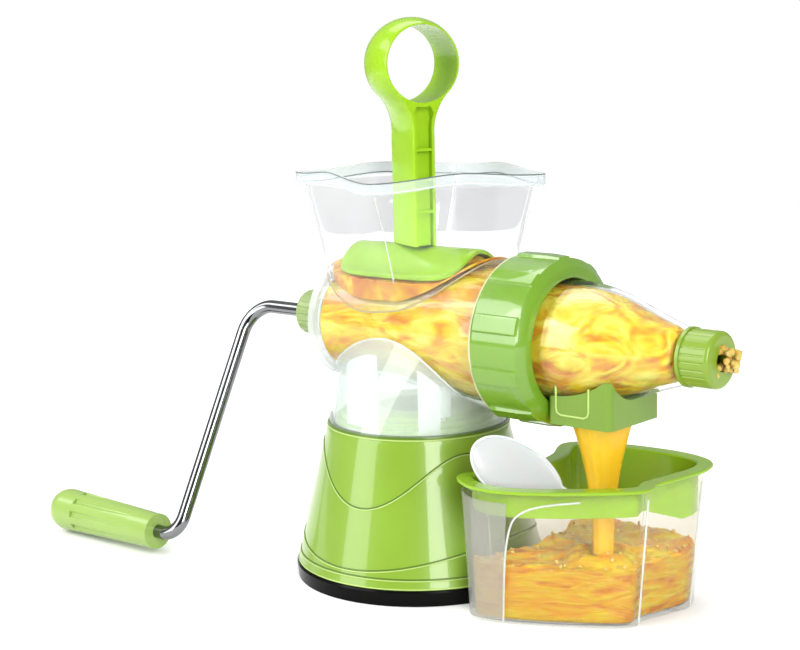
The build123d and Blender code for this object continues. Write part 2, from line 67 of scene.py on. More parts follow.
HOPPER_WALL_TOP = 195.0
HOPPER_RIM_Z = 199.7
HOPPER_HALF = 46.6       # CAD 45.8
HOPPER_TOP_HALF = 44.2   # CAD 42.8
HOPPER_TURN = radians(-24.8)
THROAT_A = 48.0
THROAT_B = 27.5
COLLAR_X0 = 63.2
COLLAR_X1 = 92.0
COLLAR_R = 38.4
CUP_RIM_Z = 62.0
CUP_FLOOR = [(63.5, -36), (70.5, -45), (87.5, -41), (111.5, -29), (132.5, -14), (132.5, -2), (136.5, 14),
             (138.5, 27), (132.5, 40), (115.5, 50), (93.5, 52), (73.5, 49), (64.5, 40), (70.5, 20),
             (72.8, 0), (70.5, -20)]
CUP_RIM = [(57.5, -36), (73.5, -48), (93.5, -45), (117.5, -29), (136.5, -11), (135, 2), (137.5, 20),
           (138.5, 38), (132.5, 51), (115.5, 57), (91.5, 56), (71.5, 51), (60.5, 41), (69, 20),
           (71.5, 0), (69, -20)]
RING_Z = 249.8           # CAD 250.0
RING_R = 21.9            # CAD 22.0
RING_HOLE_R = 18.3       # CAD 18.4
FLARE_R = 24.0
STEM_HALF = 6.25
STEM_LOW = -86.6
HANDLE_HALF_DEPTH = 13.0
PLATE_HALF_X = 38.0
PLATE_HALF_Y = 25.6
SCOOP_TIP = Vector((72.0, -33.6, 87.6))
SCOOP_AXIS = Vector((0.520, 0.270, -0.810)).normalized()
SCOOP_FACE = Vector((0.6465, -0.7444, 0.1669)).normalized()
BASE_WALL = 2.4
DECK_Z = 70.3
NECK_WALL = 2.4
NECK_POST_RING_R = 34
NECK_POST_R = 4.2
REAR_FLANGE_R = 29.2
BARREL_CORE_R = 25.0
HOPPER_WALL = 2.2
HOPPER_FUNNEL_TOP = 193.2
HOPPER_STEP_Z = 194.9
COLLAR_HIGHLIGHT_R = 37.7
CUP_MIDDLE_X = 100
CUP_MIDDLE_Y = 4

# ---- contents, and details drawn afresh here, in millimetres ----
STRIP_OUTER_INSET = 2.7
STRIP_INNER_INSET = 3.6
FRUIT_INSET = 2.9
POCKET_DEPTH = 3.5
POCKET_TOP = -23.5
LEDGE_R = 20.4
STREAM_X = 109.8
STREAM_TOP_Z = 91.5
STREAM_LENGTH = 63.5
JUICE_LEVEL = 26.8
SCOOP_LENGTH = 50.0      # CAD 60.0
SCOOP_HALF = 13.2        # CAD 15.5
SCOOP_LEAN = radians(20.0)  # CAD 0
SCOOP_PIVOT = 32.0
SCOOP_LEAF_END = 0.92


# ---- shader helpers ----
def node_setup(name):
    """A new material, its node tree, its shader and its output node."""
    material = bpy.data.materials.new(name)
    material.use_nodes = True
    tree = material.node_tree
    tree.nodes.clear()
    output = tree.nodes.new("ShaderNodeOutputMaterial")
    shader = tree.nodes.new("ShaderNodeBsdfPrincipled")
    tree.links.new(shader.outputs["BSDF"], output.inputs["Surface"])
    return material, tree, shader, output


def set_inputs(node, values):
    """Constants on a node's own sockets."""
    for socket, value in values.items():
        node.inputs[socket].default_value = value


def link_inputs(tree, node, sources):
    """Join other nodes' outputs to a node's sockets."""
    for socket, source in sources.items():
        tree.links.new(source, node.inputs[socket])


def object_noise(tree, scale, detail=3.0, stretch=(1, 1, 1)):
    """Noise over the object's own coordinates; scale is per metre."""
    coordinates = tree.nodes.new("ShaderNodeTexCoord")
    mapping = tree.nodes.new("ShaderNodeMapping")
    texture = tree.nodes.new("ShaderNodeTexNoise")
    set_inputs(mapping, {"Scale": stretch})
    set_inputs(texture, {"Scale": scale, "Detail": detail})
    link_inputs(tree, mapping, {"Vector": coordinates.outputs["Object"]})
    link_inputs(tree, texture, {"Vector": mapping.outputs["Vector"]})
    return texture


def ramp(tree, factor, stops):
    """Colour ramp over a 0 to 1 value; stops are (position, colour)."""
    result = tree.nodes.new("ShaderNodeValToRGB")
    elements = result.color_ramp.elements
    while len(elements) < len(stops):
        elements.new(0.5)
    for element, (position, colour) in zip(elements, stops):
        element.position = position
        element.color = (*colour, 1)
    link_inputs(tree, result, {"Fac": factor})
    return result.outputs["Color"]


def map_range(tree, value, low, high, start=0.3, end=0.7):
    """A value between start and end, spread from low to high."""
    result = tree.nodes.new("ShaderNodeMapRange")
    set_inputs(result, {"From Min": start, "From Max": end, "To Min": low, "To Max": high})
    link_inputs(tree, result, {"Value": value})
    return result.outputs["Result"]


def bump(tree, height, strength, distance, over=None):
    """Bump over a height value, on top of another bump if one is given."""
    result = tree.nodes.new("ShaderNodeBump")
    set_inputs(result, {"Strength": strength, "Distance": distance})
    link_inputs(tree, result, {"Height": height})
    if over:
        link_inputs(tree, result, {"Normal": over})
    return result.outputs["Normal"]


def shade(colour, factor):
    """A colour made lighter or darker."""
    return tuple(min(1.0, c * factor) for c in colour)


def moulded(name, colour, roughness=0.3, coat=0.3, grain=0.04, translucent=0.0, gloss=0.3):
    """Injection-moulded plastic: faint flow clouds, fine grain and a glossy skin."""
    material, tree, shader, _ = node_setup(name)
    clouds = object_noise(tree, 26, 4).outputs["Fac"]
    grains = object_noise(tree, 2600, 2).outputs["Fac"]
    link_inputs(tree, shader, {
        "Base Color": ramp(tree, clouds, [(0.3, shade(colour, 0.95)), (0.7, shade(colour, 1.05))]),
        "Roughness": map_range(tree, clouds, roughness - 0.03, roughness + 0.04),
        "Normal": bump(tree, grains, grain, 0.0002),
    })
    set_inputs(shader, {"Specular IOR Level": gloss, "Coat Weight": coat, "Coat Roughness": 0.06})
    if translucent:
        set_inputs(shader, {"Subsurface Weight": translucent, "Subsurface Scale": 0.004})
    return material


def clear(name, colour=(0.97, 0.985, 0.99), milk=0.1, roughness=0.03, wave=0.15, coat=1.0):
    """Clear plastic: a see-through body with a little milk in it and a bright, slightly wavy skin."""
    material, tree, shader, output = node_setup(name)
    clouds = object_noise(tree, 34, 3).outputs["Fac"]
    ripples = object_noise(tree, 60, 1).outputs["Fac"]
    link_inputs(tree, shader, {
        "Base Color": ramp(tree, clouds, [(0.3, shade(colour, 0.97)), (0.7, colour)]),
        "Roughness": map_range(tree, clouds, roughness, roughness + 0.02),
        "Normal": bump(tree, ripples, wave, 0.001),
    })
    set_inputs(shader, {"Transmission Weight": 1 - milk, "IOR": 1.02, "Coat Weight": coat,
                        "Coat Roughness": 0.03, "Coat IOR": 1.5})
    through = tree.nodes.new("ShaderNodeBsdfTransparent")
    set_inputs(through, {"Color": (0.96, 0.97, 0.97, 1)})
    rays = tree.nodes.new("ShaderNodeLightPath")
    mix = tree.nodes.new("ShaderNodeMixShader")
    link_inputs(tree, mix, {"Fac": rays.outputs["Is Shadow Ray"], 1: shader.outputs["BSDF"],
                            2: through.outputs["BSDF"]})
    link_inputs(tree, output, {"Surface": mix.outputs["Shader"]})
    return material


def metal(name, colour, roughness, brush=0.02):
    """Polished steel with faint drawing lines."""
    material, tree, shader, _ = node_setup(name)
    clouds = object_noise(tree, 90, 4).outputs["Fac"]
    lines = object_noise(tree, 900, 2, (0.05, 1, 1)).outputs["Fac"]
    link_inputs(tree, shader, {
        "Base Color": ramp(tree, clouds, [(0.3, shade(colour, 0.93)), (0.7, colour)]),
        "Roughness": map_range(tree, lines, roughness * 0.7, roughness * 1.3),
        "Normal": bump(tree, lines, brush, 0.0002),
    })
    set_inputs(shader, {"Metallic": 1.0})
    return material


def pulp(name, stops, scale, stretch, roughness=0.25, relief=0.6, warp=1.4, painted_top_light=1.0):
    """Wet fruit pulp: warped fibres in several oranges; the last argument paints light onto what faces up,
    making its colour paler there.
    """
    material, tree, shader, _ = node_setup(name)
    fibres = object_noise(tree, scale, 6, stretch)
    set_inputs(fibres, {"Distortion": warp})
    fine = object_noise(tree, scale * 5, 4, stretch).outputs["Fac"]
    colour = ramp(tree, fibres.outputs["Fac"], stops)
    # Painted light: the colour is made paler where the surface faces up, as if lit from above.
    if painted_top_light != 1.0:
        facing = tree.nodes.new("ShaderNodeNewGeometry")
        axes = tree.nodes.new("ShaderNodeSeparateXYZ")
        paler = tree.nodes.new("ShaderNodeHueSaturation")
        link_inputs(tree, axes, {"Vector": facing.outputs["Normal"]})
        lightness = map_range(tree, axes.outputs["Z"], 1.0, painted_top_light)
        link_inputs(tree, paler, {"Color": colour, "Value": lightness})
        colour = paler.outputs["Color"]
    coarse = bump(tree, fibres.outputs["Fac"], relief, 0.002)
    link_inputs(tree, shader, {
        "Base Color": colour,
        "Roughness": map_range(tree, fine, roughness - 0.1, roughness + 0.15),
        "Normal": bump(tree, fine, relief * 0.6, 0.0006, coarse),
    })
    set_inputs(shader, {"Specular IOR Level": 0.3, "Subsurface Weight": 0.2, "Subsurface Scale": 0.003,
                        "Coat Weight": 0.12, "Coat Roughness": 0.1})
    return material


# ---- mesh helpers ----
def turns(count):
    """Angles that divide a full turn into equal steps."""
    return [2 * pi * k / count for k in range(count)]


def add_piece(name, points, faces, material, body="stand", sharp=38):
    """A mesh piece from millimetre points that rides on a body."""
    mesh = bpy.data.meshes.new(name)
    mesh.from_pydata([tuple(c * MM for c in p) for p in points], [], faces)
    clean = bmesh.new()
    clean.from_mesh(mesh)
    bmesh.ops.remove_doubles(clean, verts=clean.verts, dist=0.000002)
    bmesh.ops.dissolve_degenerate(clean, edges=clean.edges, dist=0.000001)
    bmesh.ops.recalc_face_normals(clean, faces=clean.faces)
    clean.to_mesh(mesh)
    clean.free()
    mesh.materials.append(material)
    mesh.shade_smooth()
    mesh.set_sharp_from_angle(angle=radians(sharp))
    piece = bpy.data.objects.new(name, mesh)
    bpy.context.scene.collection.objects.link(piece)
    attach(piece, body)
    return piece


def band_faces(rings, columns, loop):
    """Quads between neighbouring rings; loop also joins the last ring to the first."""
    faces = []
    for i in range(rings if loop else rings - 1):
        upper = (i + 1) % rings
        for j in range(columns):
            right = (j + 1) % columns
            faces.append((i * columns + j, i * columns + right, upper * columns + right, upper * columns + j))
    return faces


def add_rings(name, rings, material, body="stand", loop=True, sharp=38):
    """A piece made of rings of points. With loop it is a closed wall; without, its ends are capped."""
    columns = len(rings[0])
    points = [p for ring in rings for p in ring]
    faces = band_faces(len(rings), columns, loop)
    if not loop:
        faces.append(tuple(range(columns)))
        faces.append(tuple(range(len(points) - columns, len(points))))
    return add_piece(name, points, faces, material, body, sharp)


def smooth_line(points, count):
    """Points on a smooth curve through the given points (Catmull-Rom)."""
    ends = [points[0]] + list(points) + [points[-1]]
    result = []
    spans = len(points) - 1
    for k in range(count + 1):
        place = min(k / count * spans, spans - 1e-9)
        i = int(place)
        t = place - i
        result.append(catmull_rom(ends[i:i + 4], t))
    return result


def smooth_loop(points, count):
    """Points on a smooth closed curve through the given points."""
    total = len(points)
    result = []
    for k in range(count):
        place = k / count * total
        i = int(place)
        four = [points[(i + step) % total] for step in (-1, 0, 1, 2)]
        result.append(catmull_rom(four, place - i))
    return result


def catmull_rom(four, t):
    """The point at t between the middle two of four points."""
    a, b, c, d = four
    return tuple(0.5 * (2 * q + (r - p) * t + (2 * p - 5 * q + 4 * r - s) * t * t
                        + (3 * q - p - 3 * r + s) * t ** 3) for p, q, r, s in zip(a, b, c, d))


def radius_at(curve, x):
    """Radius of a smooth (x, radius) curve at x."""
    fine = smooth_line(curve, 60)
    if x <= fine[0][0]:
        return fine[0][1]
    for (x0, r0), (x1, r1) in zip(fine, fine[1:]):
        if x <= x1:
            return r0 + (r1 - r0) * (x - x0) / (x1 - x0)
    return fine[-1][1]


def lathe_x(name, profile, material, body="stand", steps=144, reshape=None, sharp=38):
    """A turned piece about the barrel's axis; reshape may change the radius with x and angle."""
    rings = []
    for x, r in profile:
        ring = []
        for angle in turns(steps):
            reach = reshape(x, angle, r) if reshape else r
            ring.append((x, reach * cos(angle), AXIS_Z + reach * sin(angle)))
        rings.append(ring)
    return add_rings(name, rings, material, body, sharp=sharp)


def lathe_z(name, profile, material, body, steps=192):
    """A turned piece about Z from a closed profile."""
    rings = [[(r * cos(a), r * sin(a), z) for a in turns(steps)] for r, z in profile]
    return add_rings(name, rings, material, body)


def add_bead(name, path, radius, material, body="stand", closed=False):
    """A thin round bead along a path of millimetre points."""
    count = len(path)
    rings = []
    side = None
    for i in range(count):
        before = Vector(path[(i - 1) % count] if closed else path[max(i - 1, 0)])
        after = Vector(path[(i + 1) % count] if closed else path[min(i + 1, count - 1)])
        along = (after - before).normalized()
        if side is None:
            side = along.orthogonal().normalized()
        side = (side - along * side.dot(along)).normalized()
        other = along.cross(side)
        centre = Vector(path[i])
        rings.append([tuple(centre + (side * cos(a) + other * sin(a)) * radius) for a in turns(8)])
    return add_rings(name, rings, material, body, closed, 80)


def waves(x, y, z, size):
    """Smooth noise of about plus or minus one, with features of the given size."""
    return noise.noise(Vector((x / size, y / size, z / size))) * 1.7


# ---- materials ----
LEAF_GREEN = (0.170, 0.290, 0.024)
LIME_GREEN = (0.240, 0.430, 0.008)

green = moulded("green_body", LEAF_GREEN, 0.3, 0.5)
# A lighter copy of the body green: painted highlight on the base's lines and edges and on the spout's frame.
green_painted_highlight = moulded("green_painted_highlight", (0.34, 0.47, 0.12), 0.3, 0.3)
# Pale cream: painted highlight on the collar's rear edge.
cream = moulded("cream_highlight", (0.50, 0.49, 0.30), 0.3, 0.3)
# A darker copy of the body green: painted shade on the base's steps and on the neck gasket.
green_painted_shade = moulded("green_painted_shade", (0.07, 0.14, 0.01), 0.4, 0.2)
collar_green = moulded("green_collar", (0.125, 0.260, 0.014), 0.28, 0.9)
cap_green = moulded("green_cap", (0.165, 0.265, 0.02), 0.3, 0.3)
spout_green = moulded("green_spout", (0.125, 0.225, 0.014), 0.3, 0.3)
hub_green = moulded("green_hub", (0.21, 0.29, 0.10), 0.3, 0.4)
grip_green = moulded("green_grip", (0.235, 0.355, 0.075), 0.3, 0.35)
pale_green = moulded("green_insert", (0.20, 0.36, 0.012), 0.25, 0.4, translucent=0.2)
lime = moulded("lime_body", LIME_GREEN, 0.25, 0.25, translucent=0.15, gloss=0.2)
# A darker copy of the lime: painted shade on the pusher's plate, which takes more light from above than the
# handle.
plate_lime_shaded = moulded("lime_plate_shaded", (0.165, 0.305, 0.006), 0.25, 0.25, translucent=0.15, gloss=0.2)
white = moulded("white_body", (0.50, 0.52, 0.52), 0.3, 0.4)
scoop_look = moulded("scoop_white", (0.43, 0.455, 0.46), 0.3, 0.4, translucent=0.4)
# A lighter copy of the scoop's white: painted highlight on its rim.
scoop_edge_highlight = moulded("scoop_edge_highlight", (0.54, 0.55, 0.55), 0.3, 0.4)
black = moulded("black_gloss", (0.003, 0.003, 0.003), 0.2, 0.02, gloss=0.05)
black_matt = moulded("black_matt", (0.012, 0.012, 0.013), 0.5, 0.1)
grey_rubber = moulded("grey_rubber", (0.18, 0.19, 0.19), 0.55, 0.0, grain=0.2)
clear_body = clear("clear_body", milk=0.004, coat=0.6)
clear_neck = clear("clear_neck", (0.74, 0.79, 0.76), milk=0.2, wave=0.4, coat=0.6)
clear_hopper = clear("clear_hopper", (0.95, 0.955, 0.965), milk=0.01, coat=0.5)
clear_flange = clear("clear_flange", (0.78, 0.82, 0.825), milk=0.16, coat=0.5)
clear_cup = clear("clear_cup", (0.86, 0.835, 0.77), milk=0.006, coat=0.5)
frosted = clear("frosted_ear", (0.60, 0.60, 0.56), milk=0.16, roughness=0.12, coat=0.4)
# Milky plastic of the rear flange and the neck posts; on the neck's two strips it is a painted reflection.
milky = clear("milky_flange_and_reflection", (0.66, 0.68, 0.67), milk=0.4, roughness=0.15, coat=0.4)
# Dark grey edge beads: painted shade in place of the dark edges that clear plastic shows by refraction.
edge_painted_shade = clear("edge_painted_shade", (0.16, 0.18, 0.18), milk=0.5, roughness=0.1)
# The hopper's joint with the barrel is real; this brownish line on it is painted, for the light the clear
# joint bends and reflects.
seam_painted_line = clear("seam_painted_line", (0.42, 0.36, 0.24), milk=0.6, roughness=0.1)
# Pale beads along clear edges, seams and creases: painted highlight.
white_painted_highlight = clear("white_painted_highlight", (0.62, 0.64, 0.62), milk=0.6, roughness=0.1)
steel = metal("steel", (0.22, 0.225, 0.23), 0.12)
screen_steel = metal("screen_steel", (0.6, 0.6, 0.6), 0.3)

DEEP_ORANGE = (0.30, 0.085, 0.0005)
ORANGE = (0.36, 0.155, 0.001)
YELLOW = (0.40, 0.285, 0.002)
PALE_YELLOW = (0.46, 0.39, 0.06)
barrel_pulp_look = pulp("barrel_pulp",
                        [(0.28, DEEP_ORANGE), (0.42, ORANGE), (0.52, YELLOW), (0.72, PALE_YELLOW)],
                        75, (0.3, 1, 1), relief=0.9, warp=1.8)
cone_pulp_look = pulp("cone_pulp",
                      [(0.28, DEEP_ORANGE), (0.40, ORANGE), (0.50, YELLOW), (0.70, PALE_YELLOW)],
                      62, (0.42, 1, 1), relief=1.0, warp=3.0)
fruit_look = pulp("fruit_pulp", [(0.3, DEEP_ORANGE), (0.47, ORANGE), (0.64, YELLOW)], 70, (1, 1, 1), 0.3, 0.5)
# The juice's upward faces get a paler colour: painted light on its top.
juice_look = pulp("cup_juice",
                  [(0.3, DEEP_ORANGE), (0.45, (0.41, 0.20, 0.001)), (0.6, YELLOW), (0.8, PALE_YELLOW)],
                  52, (0.6, 0.6, 2.4), 0.25, 0.6, 2.4, painted_top_light=1.5)
stream_look = pulp("juice_stream", [(0.3, (0.66, 0.37, 0.008)), (0.7, (0.68, 0.47, 0.04))],
                   60, (1, 1, 0.15), 0.2, 0.2, 0.4)
crumb_look = pulp("pulp_crumbs",
                  [(0.3, (0.44, 0.25, 0.024)), (0.6, (0.54, 0.39, 0.09)), (0.8, (0.58, 0.5, 0.3))],
                  160, (1, 1, 1), 0.35, 0.8)

cad_looks = {
    "suction_cup": black, "base_plate": black_matt, "suction_plunger": black_matt, "lever_shaft": black_matt,
    "suction_lever": green, "base_screws": screen_steel, "neck_screws": screen_steel,
    # The neck gasket is drawn in the painted-shade green.
    "neck_gasket": green_painted_shade,
    "rear_bushing": white, "rear_seal": grey_rubber, "collar_gasket": grey_rubber, "outlet_seal": grey_rubber,
    "drive_shaft": steel, "crank_rod": steel, "auger": white, "strainer_screen": screen_steel,
    "crank_hub": hub_green, "crank_grip": grip_green, "juice_spout": spout_green, "outlet_cap": cap_green,
    "locking_collar": collar_green, "pusher_handle": lime, "pusher_plate": lime, "cup_insert": pale_green,
    "cup_body": clear_cup, "barrel_body": clear_body, "feed_hopper": clear_hopper, "front_cone": clear_body,
    "base_shell": green, "scoop": white,
}
for node_name, look in cad_looks.items():
    node_mesh = nodes[node_name].data
    node_mesh.materials.clear()
    node_mesh.materials.append(look)


# ---- base ----
def shell_radius(z):
    """Outer radius of the green base at height z."""
    share = (z - SHELL_FOOT_Z) / (SHELL_TOP_Z - SHELL_FOOT_Z)
    return SHELL_FOOT_R + (SHELL_TOP_R - SHELL_FOOT_R) * share


def wave_path(middle, swing=0.0, count=1, low_at=0.0):
    """A wavy line round the base."""
    path = []
    for angle in turns(240):
        z = middle - swing * cos(count * (angle - radians(low_at)))
        r = shell_radius(z) + 0.02
        path.append((r * cos(angle), r * sin(angle), z))
    return path


def build_base():
    """Green cone with a rounded foot, a lip at the seam and a stepped boss inside the clear neck."""
    outer = [(SHELL_FOOT_R - 0.5, SHELL_FOOT_Z), (SHELL_FOOT_R, SHELL_FOOT_Z + 0.5)]
    outer += [(shell_radius(z), z) for z in range(10, 75, 3)]
    outer += [(shell_radius(75.6), 75.6), (SHELL_TOP_R - 0.4, SHELL_TOP_Z), (42.2, SHELL_TOP_Z)]
    boss = [(41.6, 76.7), (41.0, 76.9), (40.8, 79.3), (40.0, 79.7), (38.0, 79.7), (37.8, 81.7), (37.0, 82.1),
            (34.8, 82.1), (34.5, 83.9), (33.8, 84.3), (19.0, 84.3), (19.0, DECK_Z)]
    inner = [(shell_radius(DECK_Z) - BASE_WALL, DECK_Z), (SHELL_FOOT_R - 2.2, SHELL_FOOT_Z)]
    shell = lathe_z("base_cone", outer + boss + inner, green, "stand")
    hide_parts("base_shell")

    def line_round(name, wave, radius, look):
        add_bead(name, wave_path(*wave), radius, look, "stand", closed=True)

    # Each step round the base is drawn as a dark bead of painted shade with a pale bead of painted highlight
    # just below it.
    for i, wave in enumerate(((55.8, 12.4, 3, -82), (20.6, 5.6, 2, -88), (12.6,))):
        line_round(f"base_shade_line_{i}", wave, 0.36, green_painted_shade)
        line_round(f"base_highlight_line_{i}", (wave[0] - 0.75, *wave[1:]), 0.36, green_painted_highlight)
    # Pale rings at the foot and at the seam: painted highlight on those edges.
    for i, z in enumerate((8.1, 75.5)):
        line_round(f"base_edge_highlight_{i}", (z,), 0.4, green_painted_highlight)


# ---- clear body ----
def barrel_radius(x):
    """Outer radius of the clear barrel at x."""
    return radius_at(BARREL_CURVE, x)


def build_barrel():
    """Clear barrel with a milky rear flange, a smooth swell and a spigot under the collar."""
    outer = [(REAR_X + 4.3, 25.5), (REAR_X + 4.3, 27.7)]
    outer += [p for p in smooth_line(BARREL_CURVE, 40) if REAR_X + 4.6 < p[0] < 62.5]
    outer += [(62.8, 36.9), (63.0, 34.9), (BARREL_END_X, 34.9)]
    inner = [(x, r) for x, r in smooth_line(BORE_CURVE, 40) if x < BARREL_END_X]
    inner.append((BARREL_END_X, 31.6))
    barrel = lathe_x("barrel_tube", outer + list(reversed(inner)), clear_body)
    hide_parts("barrel_body")
    flange = [(REAR_X, 9.0), (REAR_X, 28.4), (REAR_X + 0.8, REAR_FLANGE_R),
              (REAR_X + 3.4, REAR_FLANGE_R), (REAR_X + 4.2, 28.4),
              (REAR_X + 4.2, 25.6), (REAR_X + 5, 25.2), (REAR_X + 5, 9.0)]
    lathe_x("rear_flange", flange, milky)

    skin = [(x, r - 0.25) for x, r in smooth_line(BORE_CURVE, 40) if -40 < x < 74]
    core = [(74.0, 24.0), (-41.0, 24.0), (-41.0, BARREL_CORE_R)]

    def lumpy(x, angle, r):
        if r <= BARREL_CORE_R:
            return r
        y, z = r * cos(angle), r * sin(angle)
        return r - 0.35 * abs(waves(x, y, z, 9)) - 0.2 * abs(waves(x, y, z, 3.5))

    lathe_x("barrel_pulp", skin + core, barrel_pulp_look, steps=220, reshape=lumpy)


def neck_point(angle, z, inset):
    """Point on the neck's outline at an angle and height."""
    share = (z - NECK_FOOT_Z) / (NECK_TOP_Z - NECK_FOOT_Z)
    foot = SHELL_TOP_R - 0.6
    half_x = foot + (NECK_TOP_A - foot) * share - inset
    half_y = foot + (NECK_TOP_B - foot) * share - inset
    middle = NECK_TOP_X * share * (3 + 7 * share) / 10
    return middle + half_x * cos(angle), half_y * sin(angle)


def neck_meets_barrel(angle, inset, clearance):
    """Height at which the neck's wall reaches the barrel."""
    low, high = NECK_FOOT_Z + 4, AXIS_Z
    for _ in range(24):
        middle = (low + high) / 2
        x, y = neck_point(angle, middle, inset)
        inside = hypot(y, middle - AXIS_Z) < barrel_radius(x) + clearance
        if inside:
            high = middle
        else:
            low = middle
    return low


def neck_strip_point(z, offset, inset):
    """Point on the front of the neck at a sideways distance from its axis."""
    sideways = radians(41.0)
    low, high = sideways - pi, sideways
    for _ in range(24):
        middle = (low + high) / 2
        x, y = neck_point(middle, z, inset)
        if x * cos(sideways) + y * sin(sideways) < offset:
            low = middle
        else:
            high = middle
    return neck_point(low, z, inset)


def neck_strip_top(offset):
    """Greatest height at which the neck's front wall at this distance is still clear of the barrel."""
    top = 112.0
    while top > NECK_FOOT_Z + 4:
        x, y = neck_strip_point(top, offset, STRIP_INNER_INSET)
        if hypot(y, top - AXIS_Z) > barrel_radius(x) + 0.8:
            break
        top -= 0.5
    return top


def add_neck_reflection(name, first, last):
    """A milky upright strip just inside the neck's front wall, between two sideways distances: a painted
    reflection of a tall studio light.
    """
    steps, rows = 8, 14
    offsets = [first + (last - first) * j / steps for j in range(steps + 1)]
    tops = {offset: neck_strip_top(offset) for offset in offsets}
    rings = []
    for i in range(rows + 1):
        ring = []
        for inset, line in ((STRIP_OUTER_INSET, offsets), (STRIP_INNER_INSET, offsets[::-1])):
            for offset in line:
                z = NECK_FOOT_Z + 0.2 + (tops[offset] - NECK_FOOT_Z - 0.2) * i / rows
                ring.append((*neck_strip_point(z, offset, inset), z))
        rings.append(ring)
    add_rings(name, rings, milky, loop=False)


def build_neck():
    """Clear neck between the green base and the barrel, with milky strips that are painted reflections, and
    screw posts inside.
    """
    angles = turns(160)
    rows = 26

    def level(inset, tops, share):
        ring = []
        for angle, top in zip(angles, tops):
            z = NECK_FOOT_Z + (top - NECK_FOOT_Z) * share
            ring.append((*neck_point(angle, z, inset), z))
        return ring

    tops = [neck_meets_barrel(a, 0, -0.3) for a in angles]
    inner_tops = [neck_meets_barrel(a, NECK_WALL, -0.3) for a in angles]
    rings = [level(0, tops, i / rows) for i in range(rows + 1)]
    rings += [level(NECK_WALL, inner_tops, i / rows) for i in range(rows, -1, -1)]
    add_rings("neck_wall", rings, clear_neck)
    seam = [(*neck_point(angle, top, 0), top) for angle, top in zip(angles, tops)]
    # A pale bead where the neck meets the barrel: painted highlight on that joint.
    add_bead("neck_seam_highlight", seam, 0.5, white_painted_highlight, closed=True)
    add_neck_reflection("neck_reflection_left", -34.5, -19.5)
    add_neck_reflection("neck_reflection_right", -0.5, 10.0)
    for i, angle in enumerate((90, 210, 330)):
        x, y = NECK_POST_RING_R * cos(radians(angle)), NECK_POST_RING_R * sin(radians(angle))
        circle = [(x + NECK_POST_R * cos(a), y + NECK_POST_R * sin(a)) for a in turns(24)]
        rings = [[(px, py, z) for px, py in circle] for z in (84.5, 98.0)]
        add_rings(f"neck_post_{i}", rings, milky, loop=False)


# ---- hopper ----
def superellipse(angle, half_x, half_y, power):
    """Distance from the centre to a superellipse in a direction."""
    return (abs(cos(angle) / half_x) ** power + abs(sin(angle) / half_y) ** power) ** (-1 / power)


def hopper_point(angle, z, inset):
    """Point on the hopper's wall at an angle and height."""
    height = max(0.0, (z - HOPPER_LOW_Z) / (HOPPER_WALL_TOP - HOPPER_LOW_Z))
    oval = superellipse(angle, THROAT_A, THROAT_B, 2.6)
    square = superellipse(angle - HOPPER_TURN, HOPPER_TOP_HALF, HOPPER_TOP_HALF, 13)
    reach = oval + (square - oval) * height ** 1.3 - inset
    return HOPPER_X + reach * cos(angle), reach * sin(angle)


def hopper_meets_barrel(angle, inset, clearance):
    """Height at which the hopper's wall reaches the barrel."""
    low, high = HOPPER_LOW_Z, HOPPER_WALL_TOP
    for _ in range(24):
        middle = (low + high) / 2
        x, y = hopper_point(angle, middle, inset)
        radius = barrel_radius(x) if x > REAR_X + 4.2 else REAR_FLANGE_R
        if hypot(y, middle - AXIS_Z) < radius + clearance:
            low = middle
        else:
            high = middle
    return high


def rim_wave(angle):
    """The hopper's rim hangs lower at its corners."""
    return 1.25 * cos(4 * (angle - HOPPER_TURN)) - 0.75


